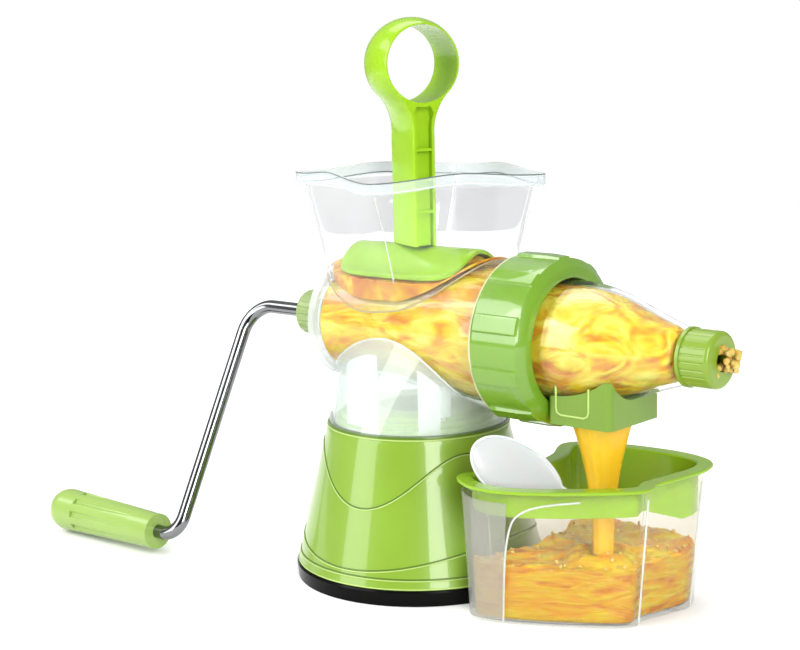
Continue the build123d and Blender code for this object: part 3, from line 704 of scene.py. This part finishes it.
def build_hopper():
    """Clear funnel with a waved rim flange, dark and pale beads of painted shade and highlight on its rim,
    step and corners, and a tinted painted line where it sits on the barrel.
    """
    columns = 224
    angles = turns(columns)
    rows = 22
    outer_low = [hopper_meets_barrel(a, 0, 0.1) for a in angles]
    inner_low = [hopper_meets_barrel(a, HOPPER_WALL, 0.1) for a in angles]

    def wall(inset, lows, share):
        ring = []
        for a, low in zip(angles, lows):
            z = low + (HOPPER_FUNNEL_TOP - low) * share
            ring.append((*hopper_point(a, z, inset), z))
        return ring

    def flange(half, z, power=20):
        ring = []
        for a in angles:
            reach = superellipse(a - HOPPER_TURN, half, half, power)
            ring.append((HOPPER_X + reach * cos(a), reach * sin(a), z + rim_wave(a)))
        return ring

    rings = [wall(0, outer_low, i / rows) for i in range(rows + 1)]
    rings += [wall(HOPPER_WALL, inner_low, i / rows) for i in range(rows, -1, -1)]
    hopper = add_rings("hopper_funnel", rings, clear_hopper)
    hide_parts("feed_hopper")
    profile = [(0.4, 194.2), (0, 194.8), (0, HOPPER_RIM_Z - 0.4), (0.4, HOPPER_RIM_Z), (1.8, HOPPER_RIM_Z),
               (2.2, HOPPER_RIM_Z - 0.4), (2.4, HOPPER_STEP_Z)]
    rings = [flange(HOPPER_HALF - inset, z) for inset, z in profile]
    rings += [flange(HOPPER_TOP_HALF - 1.7, 194.4, 13), flange(HOPPER_TOP_HALF - 0.9, 194.0, 13)]
    add_rings("hopper_flange", rings, clear_flange)
    corner = HOPPER_TURN - 3 * pi / 4
    first = round(corner / (2 * pi) * columns) % columns
    near = [(first + k) % columns for k in range(columns // 2 + 1)]
    far = [(first + columns // 2 + k) % columns for k in range(columns // 2 + 1)]
    top_line = flange(HOPPER_HALF - 0.1, HOPPER_RIM_Z - 0.1)
    step_line = flange(HOPPER_HALF - 2.5, HOPPER_STEP_Z)
    # Beads on the rim and the step: the dark ones are painted shade, the pale ones painted highlight.
    edges = (("rim_near_shade", top_line, near, edge_painted_shade), ("rim_far_highlight", top_line, far, white_painted_highlight),
             ("step_near_highlight", step_line, near, white_painted_highlight), ("step_far_shade", step_line, far, edge_painted_shade))
    for name, line, side, look in edges:
        add_bead(name, [line[j] for j in side], 0.32, look)
    # The seam where the hopper meets the barrel is drawn as a tinted line, painted for the light the clear
    # joint bends.
    seam = [(*hopper_point(a, low, 0), low) for a, low in zip(angles, outer_low)]
    add_bead("hopper_seam_painted", seam, 0.42, seam_painted_line, closed=True)
    # Pale beads down the hopper's corners: painted highlight.
    for turn in (-3, -1, 1, 3):
        angle = HOPPER_TURN + turn * pi / 4
        corner_line = []
        for k in range(16):
            z = 193.0 - 44.0 * k / 15
            corner_line.append((*hopper_point(angle, z, 0.1), z))
        add_bead(f"hopper_corner_highlight_{turn + 3}", corner_line, 0.3, white_painted_highlight)


def saddle(y):
    """Middle height of the pusher's plate, arched across the barrel."""
    share = max(-1.0, min(1.0, y / PLATE_HALF_Y))
    return 149.8 + 11.2 * (1 + cos(pi * share)) / 2


def build_fruit():
    """Chopped fruit packed in the hopper's foot, under the pusher's plate."""
    angles = turns(144)
    lows = [hopper_meets_barrel(a, FRUIT_INSET, 0.6) for a in angles]

    def top_height(x, y):
        end = max(0.0, abs(x - HOPPER_X) - 34.0) / 8
        return saddle(y) - 1.2 - 0.5 * abs(waves(x, y, 0, 8)) - 7.0 * min(1.0, end) ** 2

    def side(share):
        ring = []
        for a, low in zip(angles, lows):
            x, y = hopper_point(a, low, FRUIT_INSET)
            high = max(low + 1.0, top_height(x, y))
            z = low + (high - low) * share
            inset = FRUIT_INSET + 0.3 * abs(waves(x, y, z, 6))
            ring.append((*hopper_point(a, z, inset), z))
        return ring

    def cap(share, height):
        ring = []
        for a, low in zip(angles, lows):
            x, y = hopper_point(a, low, FRUIT_INSET)
            x, y = HOPPER_X + (x - HOPPER_X) * share, y * share
            ring.append((x, y, height(x, y)))
        return ring

    def under(x, y):
        radius = barrel_radius(x) + 0.6
        return AXIS_Z + sqrt(max(radius * radius - y * y, 0.0))

    shares = (0.02, 0.25, 0.5, 0.75, 0.9)
    rings = [cap(share, under) for share in shares]
    rings += [side(i / 8) for i in range(9)]
    rings += [cap(share, top_height) for share in reversed(shares)]
    add_rings("hopper_fruit", rings, fruit_look, loop=False)


# ---- pusher ----
def handle_outline(inset, stem_inset):
    """Outline of the pusher's ring and stem, moved in by distances; (across, up) from the ring's centre."""
    ring_r = RING_R - inset
    half = STEM_HALF - stem_inset
    flare_x = STEM_HALF + FLARE_R
    flare_z = -sqrt((RING_R + FLARE_R) ** 2 - flare_x ** 2)
    start = atan2(flare_z, flare_x)
    ring = [start + (pi - 2 * start) * k / 60 for k in range(61)]
    points = [(ring_r * cos(a), ring_r * sin(a)) for a in ring]
    flare = []
    for k in range(1, 11):
        reach = FLARE_R + inset + (stem_inset - inset) * k / 10
        a = -start * (1 - k / 10)
        flare.append((-flare_x + reach * cos(a), flare_z + reach * sin(a)))
    stem = [(-half, flare_z + (STEM_LOW - flare_z) * k / 6) for k in range(1, 7)]
    left = flare + stem
    return points + left + [(-v, z) for v, z in reversed(left)]


def outside(point, radius):
    """A point, moved out to a circle if it is inside it."""
    reach = hypot(*point)
    share = max(1.0, radius / reach)
    return point[0] * share, point[1] * share


def on_circle(point, radius):
    """A point, moved straight in or out to a circle."""
    reach = hypot(*point)
    return point[0] * radius / reach, point[1] * radius / reach


def handle_ring(outline, depths):
    """Handle outline points at their depths, turned with the hopper and raised to their height."""
    if isinstance(depths, float):
        depths = [depths] * len(outline)
    turn_cos, turn_sin = cos(HOPPER_TURN), sin(HOPPER_TURN)
    return [(d * turn_cos - v * turn_sin, d * turn_sin + v * turn_cos, RING_Z + z)
            for (v, z), d in zip(outline, depths)]


def build_pusher():
    """Finger ring with a crowned outside, flared into a stem with ribbed pockets, on an arched oval plate."""
    crown, stem_crown = 2.6, 0.6
    edge = handle_outline(crown + 0.4, stem_crown + 0.4)
    wall = [outside(p, RING_HOLE_R + 0.3) for p in handle_outline(crown + 1.9, stem_crown + 1.7)]
    pocketed = [z < POCKET_TOP for _, z in wall]
    ledge = [on_circle(p, LEDGE_R) if deep else p for p, deep in zip(wall, pocketed)]
    hole = [on_circle(p, RING_HOLE_R) for p in wall]

    def face(side):
        top = side * HANDLE_HALF_DEPTH
        floor = [side * (HANDLE_HALF_DEPTH - POCKET_DEPTH) if deep else top for deep in pocketed]
        return [handle_ring(hole, top), handle_ring(ledge, top), handle_ring(ledge, floor),
                handle_ring(wall, floor), handle_ring(wall, top), handle_ring(edge, top)]

    rings = face(1.0)
    for k in range(17):
        share = 1 - k / 8
        depth = share * (HANDLE_HALF_DEPTH - 0.6)
        rings.append(handle_ring(handle_outline(crown * share ** 2, stem_crown * share ** 2), depth))
    rings += list(reversed(face(-1.0)))
    handle = add_rings("pusher_ring", rings, lime, "pusher", sharp=40)
    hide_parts("pusher_handle")

    for i, z in enumerate((-70.0, -55.0, -40.5)):
        for side in (1.0, -1.0):
            depths = (side * (HANDLE_HALF_DEPTH - POCKET_DEPTH - 0.1), side * (HANDLE_HALF_DEPTH - 0.5))
            box = [(-4.4, z - 0.7), (4.4, z - 0.7), (4.4, z + 0.7), (-4.4, z + 0.7)]
            name = f"stem_rib_{i}_{'front' if side > 0 else 'back'}"
            rings = [handle_ring(box, depth) for depth in depths]
            add_rings(name, rings, lime, "pusher", loop=False)

    def layer(share, lift):
        ring = []
        for a in turns(144):
            reach = share * superellipse(a, PLATE_HALF_X, PLATE_HALF_Y, 3.6)
            y = reach * sin(a)
            ring.append((HOPPER_X + reach * cos(a), y, saddle(y) + lift))
        return ring

    shares = (0.02, 0.2, 0.4, 0.6, 0.8, 0.92, 0.98)
    rings = [layer(share, 2.0) for share in shares] + [layer(1.0, 1.5), layer(1.0, 0.1)]
    rings += [layer(share, -0.4) for share in reversed(shares)]
    plate = add_rings("pusher_saddle", rings, plate_lime_shaded, "pusher", loop=False)
    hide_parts("pusher_plate")


# ---- nose ----
def build_nose():
    """Clear nose cone with a screw neck, full of pulp."""
    outer = [(77.4, 26.6), (77.4, 34.9), (80.2, 34.9), (80.2, 28.9)]
    outer += [p for p in smooth_line(CONE_CURVE, 44) if 80.6 < p[0] < 154.0]
    outer += [(154.3, 10.4), (165.1, 10.2), (165.3, 10.0), (165.3, 7.6), (165.0, 7.4), (153.0, 7.4)]
    inner = [(x, r - 2.3) for x, r in smooth_line(CONE_CURVE, 44) if 79 < x < 147]
    cone = lathe_x("nose_cone", outer + list(reversed(inner)), clear_body, steps=180)
    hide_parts("front_cone")

    skin = [(x, r - 2.5) for x, r in smooth_line(CONE_CURVE, 90) if 78.4 < x < 147.5]
    skin += [(149, 11.6), (151, 10.4), (152.6, 8.4), (153.4, 7.2), (158, 7.1), (165, 7.0), (165.1, 0.5)]
    screen = [(149.5, 0.5), (149.3, 10.7), (141, 14.0), (128, 18.7), (116, 22.8), (104, 25.35), (78.6, 25.75)]

    def swirl(x, angle, r):
        if (x, r) in screen:
            return r
        y, z = r * cos(angle + x / 30), r * sin(angle + x / 30)
        return r - 0.25 * abs(waves(x, y, z, 10)) - 0.15 * abs(waves(x, y, z, 4))

    lathe_x("nose_pulp", skin + screen, cone_pulp_look, steps=240, reshape=swirl)


def lump(points, faces, centre, radius, seed):
    """Add a small uneven lump to lists of points and faces."""
    first = len(points)
    rows, columns = 5, 8
    for i in range(rows):
        polar = pi * (i + 0.5) / rows
        for a in turns(columns):
            way = Vector((sin(polar) * cos(a), sin(polar) * sin(a), cos(polar)))
            reach = radius * (1 + 0.35 * noise.noise(way * 1.7 + Vector((seed, 0, 0))))
            points.append(tuple(Vector(centre) + way * reach))
    for face in band_faces(rows, columns, False):
        faces.append(tuple(first + k for k in face))
    faces.append(tuple(first + k for k in range(columns)))
    faces.append(tuple(first + (rows - 1) * columns + k for k in range(columns)))


def build_crumbs():
    """Crumbs of spent pulp that come out of the cap's hole."""
    picker = Random(11)
    points, faces = [], []
    for k in range(30):
        out = picker.random()
        spread = 6.8 - 2.6 * out
        y, z = picker.uniform(-spread, spread), AXIS_Z + picker.uniform(-spread, spread)
        centre = (168.6 + 7.4 * out, y, z)
        lump(points, faces, centre, picker.uniform(1.1, 2.3), 3.0 * k)
    add_piece("pulp_crumbs", points, faces, crumb_look, "outlet_nut", sharp=60)


def build_collar():
    """Ring nut with ten raised grip ribs, a chamfered front and a pale bead at the back that is a painted
    highlight on its rear edge.
    """
    ribs = 10
    half = 4.0

    def ribbed(x, angle, r):
        if r < COLLAR_R - 4.9:
            return r
        step = 2 * pi / ribs
        off = (angle - radians(18) + step / 2) % step - step / 2
        across = abs(off) * COLLAR_R
        rise = min(1.0, max(0.0, (half + 0.35 - across) / 0.7))
        ends = min(1.0, max(0.0, (x - COLLAR_X0 - 1.6) / 0.6), max(0.0, (COLLAR_X1 - 3.0 - x) / 0.7))
        return r + 1.4 * rise * max(ends, 0.0)

    profile = [(COLLAR_X0, 35.3), (COLLAR_X0, 37.6), (COLLAR_X0 + 0.3, 38.1), (COLLAR_X0 + 0.9, COLLAR_R)]
    profile += [(COLLAR_X0 + 1.6, COLLAR_R), (COLLAR_X0 + 2.3, COLLAR_R), (COLLAR_X0 + 6, COLLAR_R)]
    profile += [(COLLAR_X0 + 12, COLLAR_R), (COLLAR_X0 + 18, COLLAR_R), (COLLAR_X1 - 3.4, COLLAR_R)]
    profile += [(COLLAR_X1 - 2.9, COLLAR_R - 0.05), (COLLAR_X1 - 2.4, COLLAR_R - 0.6)]
    profile += [(COLLAR_X1 - 0.3, COLLAR_R - 3.6), (COLLAR_X1, COLLAR_R - 4.2), (COLLAR_X1, 29.9)]
    profile += [(COLLAR_X1 - 0.5, 29.4), (81.0, 29.4), (80.7, 35.3)]
    collar = lathe_x("collar_ring", profile, collar_green, "collar", 720, ribbed, sharp=30)
    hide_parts("locking_collar")
    # Pale bead round the back edge: a painted highlight.
    lip = [(COLLAR_X0 - 0.1, COLLAR_HIGHLIGHT_R * cos(a), AXIS_Z + COLLAR_HIGHLIGHT_R * sin(a)) for a in turns(120)]
    add_bead("collar_edge_highlight", lip, 0.6, cream, "collar", closed=True)


# ---- cup ----
def cup_outline(height, inset, count=192):
    """Points of the cup's outline at a share of its height, moved in by a distance."""
    floor = smooth_loop(CUP_FLOOR, count)
    rim = smooth_loop(CUP_RIM, count)
    line = [(a[0] + (b[0] - a[0]) * height, a[1] + (b[1] - a[1]) * height) for a, b in zip(floor, rim)]
    result = []
    for i, (x, y) in enumerate(line):
        before, after = line[i - 1], line[(i + 1) % count]
        dx, dy = after[0] - before[0], after[1] - before[1]
        share = inset / hypot(dx, dy)
        result.append((x - dy * share, y + dx * share))
    return result


def cup_ring(z, inset):
    """Ring of points on the cup's wall at a height."""
    return [(x, y, z) for x, y in cup_outline(z / CUP_RIM_Z, inset)]


def shrink(ring, share, height):
    """A ring drawn in towards the cup's middle, with its height from a function."""
    result = []
    for x, y, _ in ring:
        sx = CUP_MIDDLE_X + (x - CUP_MIDDLE_X) * share
        sy = CUP_MIDDLE_Y + (y - CUP_MIDDLE_Y) * share
        result.append((sx, sy, height(sx, sy)))
    return result


def cup_path(places):
    """Points just outside the cup's wall; places are (outline index, height)."""
    path = []
    for index, z in places:
        outline = cup_outline(z / CUP_RIM_Z, -0.3)
        path.append((*outline[index % len(outline)], z))
    return [tuple(p) for p in smooth_line(path, 6 * len(path))]


def build_cup():
    """Clear cup with a frosted ear, and pale beads along its creases that are painted highlights."""
    rings = [shrink(cup_ring(0, 1.2), s, lambda x, y: 0.0) for s in (0.02, 0.5)]
    rings += [cup_ring(0.0, 1.0), cup_ring(0.35, 0.3), cup_ring(1.2, 0)]
    rings += [cup_ring(z, 0) for z in range(6, 60, 6)]
    rings += [cup_ring(61.6, 0), cup_ring(62, 0.4), cup_ring(62, 1.4), cup_ring(61.6, 1.8)]
    rings += [cup_ring(z, 1.8) for z in range(56, 4, -6)]
    rings += [cup_ring(2.2, 1.9), cup_ring(1.3, 3.0)]
    rings += [shrink(cup_ring(1.2, 3.2), s, lambda x, y: 1.2) for s in (0.5, 0.02)]
    cup = add_rings("cup_wall", rings, clear_cup, "cup", loop=False)
    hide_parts("cup_body")

    rings = []
    for z in (2, 8, 16, 26, 36, 46, 54, 58):
        outer, inner = cup_outline(z / CUP_RIM_Z, -0.9), cup_outline(z / CUP_RIM_Z, -0.2)
        side = list(range(-7, 23))
        rings.append([(*outer[j], z) for j in side] + [(*inner[j], z) for j in reversed(side)])
    add_rings("cup_ear", rings, frosted, "cup", loop=False)
    creases = {"tip": [(-7, 2), (-7, 20), (-7, 40), (-6, 52), (-2, 57)],
               "ear": [(22, 1.5), (22, 30), (23, 46), (25, 53), (29, 57), (36, 59)],
               "corner": [(54, 1.5), (54, 20), (54, 40), (54, 58)],
               "right": [(84, 1.5), (84, 20), (84, 40), (84, 58)]}
    # Pale beads down the creases: painted highlight.
    for name, places in creases.items():
        add_bead(f"cup_crease_highlight_{name}", cup_path(places), 0.5, white_painted_highlight, "cup")


def build_rim():
    """Green rim that drops into the cup: a thin flange and a band, deeper on the far side."""
    def level(inset, z):
        return [(x, y, z) for x, y in cup_outline(1.0, inset)]

    def band(inset):
        ring = []
        for x, y in cup_outline(1.0, inset):
            far = max(0.0, min(1.0, (y - 2.0) / 26.0))
            ring.append((x, y, 50.5 - 9.0 * far))
        return ring

    rings = [level(-2.2, 62.5), level(-2.7, 62.9), level(-2.7, 63.6), level(-2.2, 64.1), level(4.4, 64.1),
             level(5.0, 63.4), band(5.6), band(4.4), level(3.9, 62.5)]
    rim = add_rings("cup_green_rim", rings, pale_green, "cup")
    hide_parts("cup_insert")


def build_juice():
    """Juice in the cup with a lively surface, and flecks of foam round its edge."""
    def surface(x, y):
        from_stream = hypot(x - 109, y)
        crown = 3.0 * max(0.0, 1 - abs(from_stream - 12) / 6)
        return JUICE_LEVEL + 0.9 * waves(x, y, 3, 13) + 0.7 * waves(x, y, 7, 5) + crown

    body = [cup_ring(1.6, 3.2), cup_ring(2.4, 2.3)] + [cup_ring(z, 2.0) for z in range(4, 26, 3)]
    top_edge = [(x, y, surface(x, y)) for x, y, _ in cup_ring(JUICE_LEVEL, 2.0)]
    low_cap = [shrink(cup_ring(1.6, 3.3), s, lambda x, y: 1.6) for s in (0.02, 0.5)]
    shares = (0.94, 0.86, 0.76, 0.65, 0.54, 0.43, 0.32, 0.22, 0.12, 0.02)
    top_cap = [shrink(top_edge, s, surface) for s in shares]
    add_rings("cup_juice", low_cap + body + [top_edge] + top_cap, juice_look, "cup", loop=False, sharp=80)
    picker = Random(5)
    points, faces = [], []
    edge = cup_ring(JUICE_LEVEL, 3.2)
    for k in range(70):
        x, y, _ = edge[picker.randrange(len(edge))]
        inward = picker.random() ** 3 * 0.5
        x, y = x + (109 - x) * inward, y + (2 - y) * inward
        z = surface(x, y) + picker.uniform(-0.6, 1.6)
        lump(points, faces, (x, y, z), picker.uniform(0.4, 1.2), 2.0 * k)
    add_piece("juice_foam", points, faces, crumb_look, "cup", sharp=60)


def build_stream():
    """Juice that runs from the spout into the cup."""
    rings = []
    rows = 24
    for i in range(rows + 1):
        share = i / rows
        z = STREAM_TOP_Z - share * STREAM_LENGTH
        width = 0.33 + 0.67 * (1 - share) ** 2.2
        ring = []
        for a in turns(48):
            ripple = 1 + 0.03 * sin(5 * a + 1) + 0.02 * sin(9 * a)
            ring.append((STREAM_X + 13.4 * width * ripple * cos(a), 17.2 * width * ripple * sin(a), z))
        rings.append(ring)
    stream = add_rings("juice_stream", rings, stream_look, loop=False, sharp=60)
    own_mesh(stream)


def build_spout_frame():
    """Raised U-shaped frame on the spout's face, in a paler green that is painted highlight."""
    path = [(98, -20.05, 108), (98, -20.05, 97.5), (98.6, -20.05, 95.6), (100.5, -20.05, 94.6),
            (113, -20.05, 94.6), (115, -20.05, 95.6), (115.6, -20.05, 97.5), (115.6, -20.05, 108)]
    add_bead("spout_frame", path, 0.55, green_painted_highlight, "stand")


def build_scoop():
    """Leaf-shaped paddle with a raised rim and a narrow handle; the rim's paler white is painted highlight.
    """
    across = SCOOP_FACE.cross(SCOOP_AXIS)
    down = SCOOP_AXIS * cos(SCOOP_LEAN) + across * sin(SCOOP_LEAN)
    side = SCOOP_FACE.cross(down)
    tip = SCOOP_TIP + (SCOOP_AXIS - down) * SCOOP_PIVOT
    rows, columns = 40, 16

    def half_width(u):
        leaf_half = SCOOP_LEAF_END / 2
        leaf = SCOOP_HALF * sqrt(max(0.0, 1 - ((u - leaf_half) / leaf_half) ** 2))
        if u < 0.6:
            return leaf
        handle = 6.5 * (1 - max(0.0, (u - 0.94) / 0.06) ** 3 * 0.5)
        return max(leaf, handle)

    rings = []
    for i in range(rows + 1):
        u = 0.004 + 0.996 * i / rows
        w = half_width(u)
        ring = []
        for sign in (1, -1):
            for j in range(columns + 1):
                v = sign * (1 - 2 * j / columns)
                dish = -0.5 * (1 - v * v) + 0.25 * max(0.0, abs(v) - 0.86) / 0.14
                thick = 0.55 * sqrt(max(0.0, 1 - abs(v) ** 6))
                centre = tip + down * (u * SCOOP_LENGTH) + side * (v * w)
                ring.append(tuple(centre + SCOOP_FACE * (dish + sign * thick)))
        rings.append(ring)
    scoop = add_rings("scoop_leaf", rings, scoop_look, "paddle", loop=False, sharp=60)
    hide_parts("scoop")
    spots = [SCOOP_LEAF_END * (1 - cos(pi * k / 60)) / 2 for k in range(1, 60)]
    rim = [tuple(tip + down * (u * SCOOP_LENGTH) + side * half_width(u)) for u in spots]
    rim += [tuple(tip + down * (u * SCOOP_LENGTH) - side * half_width(u)) for u in reversed(spots)]
    add_bead("scoop_rim", rim, 0.7, scoop_edge_highlight, "paddle", closed=True)


build_base()
build_barrel()
build_neck()
build_hopper()
build_fruit()
build_pusher()
build_nose()
build_crumbs()
build_collar()
build_cup()
build_rim()
build_juice()
build_stream()
build_spout_frame()
build_scoop()


# ---- studio ----
def add_floor():
    """A wide pale floor."""
    radius = 1.5
    mesh = bpy.data.meshes.new("floor")
    corners = [(radius * cos(a), radius * sin(a), 0) for a in turns(96)]
    mesh.from_pydata(corners, [], [tuple(range(96))])
    material, tree, shader, _ = node_setup("floor_paint")
    clouds = object_noise(tree, 1.5, 2).outputs["Fac"]
    tint = ramp(tree, clouds, [(0.3, (0.86, 0.86, 0.86)), (0.7, (0.88, 0.88, 0.88))])
    link_inputs(tree, shader, {"Base Color": tint})
    set_inputs(shader, {"Roughness": 0.9, "Specular IOR Level": 0.1})
    mesh.materials.append(material)
    floor = bpy.data.objects.new("floor", mesh)
    bpy.context.scene.collection.objects.link(floor)


def add_softbox(name, place, aim, width, height, radiance):
    """A rectangular studio light that faces a point."""
    lamp = bpy.data.lights.new(name, "AREA")
    lamp.shape = "RECTANGLE"
    lamp.size = width
    lamp.size_y = height
    lamp.energy = radiance * pi * width * height
    box = bpy.data.objects.new(name, lamp)
    bpy.context.scene.collection.objects.link(box)
    box.location = place
    box.rotation_euler = (Vector(aim) - Vector(place)).to_track_quat("-Z", "Y").to_euler()
    box.visible_camera = False


def add_world():
    """White walls, darker low in front, dimmer in gloss, brighter through clear plastic."""
    world = bpy.data.worlds.new("studio")
    bpy.context.scene.world = world
    world.use_nodes = True
    tree = world.node_tree
    tree.nodes.clear()
    output = tree.nodes.new("ShaderNodeOutputWorld")
    around = tree.nodes.new("ShaderNodeBackground")
    behind = tree.nodes.new("ShaderNodeBackground")
    mix = tree.nodes.new("ShaderNodeMixShader")
    rays = tree.nodes.new("ShaderNodeLightPath")
    coordinates = tree.nodes.new("ShaderNodeTexCoord")
    facing = tree.nodes.new("ShaderNodeVectorMath")
    facing.operation = "DOT_PRODUCT"
    set_inputs(facing, {1: (-0.55, 0.60, 0.58)})
    link_inputs(tree, facing, {0: coordinates.outputs["Generated"]})
    strength = map_range(tree, facing.outputs["Value"], 0.12, 1.0, -0.75, 0.35)
    for kind, factor in (("Is Glossy Ray", 0.4), ("Is Transmission Ray", 2.1)):
        product = tree.nodes.new("ShaderNodeMath")
        product.operation = "MULTIPLY"
        share = map_range(tree, rays.outputs[kind], 1.0, factor, 0.0, 1.0)
        link_inputs(tree, product, {0: strength, 1: share})
        strength = product.outputs["Value"]
    set_inputs(around, {"Color": (1, 1, 1, 1)})
    set_inputs(behind, {"Color": (1, 1, 1, 1), "Strength": 1.0})
    link_inputs(tree, around, {"Strength": strength})
    link_inputs(tree, mix, {"Fac": rays.outputs["Is Camera Ray"], 1: around.outputs["Background"],
                            2: behind.outputs["Background"]})
    link_inputs(tree, output, {"Surface": mix.outputs["Shader"]})


def add_camera():
    """Camera at the photograph's viewing angle."""
    azimuth, pitch, roll = radians(41.057), radians(9.491), radians(-1.240)
    back = Vector((sin(azimuth) * cos(pitch), -cos(azimuth) * cos(pitch), sin(pitch)))
    level_right = Vector((cos(azimuth), sin(azimuth), 0))
    level_up = back.cross(level_right)
    right = level_right * cos(roll) + level_up * sin(roll)
    up = level_up * cos(roll) - level_right * sin(roll)
    target = Vector((-0.010762, 0.0, 0.12216))
    lens = bpy.data.cameras.new("camera")
    lens.sensor_width = 36.0
    lens.lens = 78.30
    lens.clip_start = 0.01
    camera = bpy.data.objects.new("camera", lens)
    bpy.context.scene.collection.objects.link(camera)
    turn = Matrix((right, up, back)).transposed().to_4x4()
    camera.matrix_world = Matrix.Translation(target + back * 0.85855) @ turn
    bpy.context.scene.camera = camera


add_floor()
add_world()
add_softbox("strip_right", (1.85, -1.15, 0.95), (0, 0, 0.1), 0.85, 1.8, 12.0)
add_softbox("strip_left", (-0.95, -2.0, 0.95), (0, 0, 0.1), 1.2, 1.8, 5.5)
add_softbox("top_front", (-1.35, -1.0, 1.35), (0, 0, 0.12), 1.2, 0.6, 5.0)
add_softbox("top_back", (-0.8, 0.5, 1.8), (0, 0, 0.12), 1.4, 0.8, 4.0)
add_camera()
bpy.context.scene.view_settings.view_transform = "Standard"
